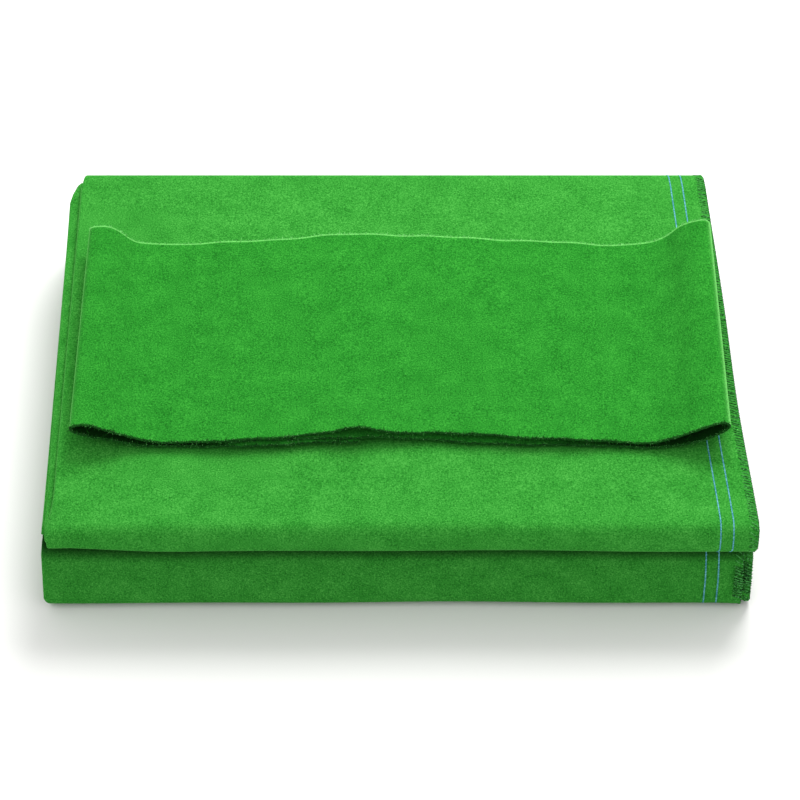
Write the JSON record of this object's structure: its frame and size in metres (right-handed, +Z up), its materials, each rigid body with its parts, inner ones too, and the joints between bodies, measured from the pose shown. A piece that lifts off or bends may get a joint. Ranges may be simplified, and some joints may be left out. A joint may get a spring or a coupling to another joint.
{
  "type": "folded gaming table cloth",
  "caption": "Folded green wool bed cloth for a gaming table with stitched selvedges and marker threads, and a narrow rail cloth folded into a loop on top",
  "frame": {"origin": "centre of the footprint, on the surface that the pack lies on", "axes": "+X along the front folds towards the selvedge side, +Y from the front folds to the back folds, +Z up through the layers"},
  "size_m": [0.394, 0.29, 0.0871],
  "materials": {
    "bed_cloth": "napped wool cloth, fine mottled grain",
    "rail_cloth": "napped wool cloth, one tone deeper, with raw cut edges",
    "marker_thread": "light blue thread woven in along the selvedge",
    "edge_thread": "dark green whip stitching over the selvedge"
  },
  "bodies": {
    "root": {"bed_panel_1": "bed_cloth", "bed_panel_2": "bed_cloth", "bed_panel_3": "bed_cloth", "bed_panel_4": "bed_cloth", "bed_panel_5": "bed_cloth", "bed_panel_6": "bed_cloth", "front_fold_outer": "bed_cloth", "front_fold_middle": "bed_cloth", "front_fold_inner": "bed_cloth", "back_fold_bottom": "bed_cloth", "back_fold_middle": "bed_cloth", "crease_lower": "bed_cloth", "marker_threads_lower": "marker_thread", "edge_stitching_lower": "edge_thread"},
    "top_fold": {"bed_panel_7": "bed_cloth", "bed_panel_8": "bed_cloth", "bed_panel_9": "bed_cloth", "front_fold_upper": "bed_cloth", "back_fold_top": "bed_cloth", "crease_upper": "bed_cloth", "marker_threads_upper": "marker_thread", "edge_stitching_upper": "edge_thread"},
    "rail_cloth": {"rail_top_ply": "rail_cloth", "rail_second_ply": "rail_cloth", "rail_third_ply": "rail_cloth", "rail_bottom_ply": "rail_cloth", "rail_left_loop": "rail_cloth", "rail_right_loop": "rail_cloth", "rail_inner_loop": "rail_cloth"}
  },
  "joints": [
    {"name": "unfold", "type": "hinge", "parent": "root", "child": "top_fold", "pos_m": [0, 0.145, 0.04305], "axis": [-1, 0, 0], "range_deg": [0, 90]},
    {"name": "rail_lift", "type": "slide", "parent": "top_fold", "child": "rail_cloth", "axis": [0, 0, 1], "range_m": [0, 0.1]}
  ]
}
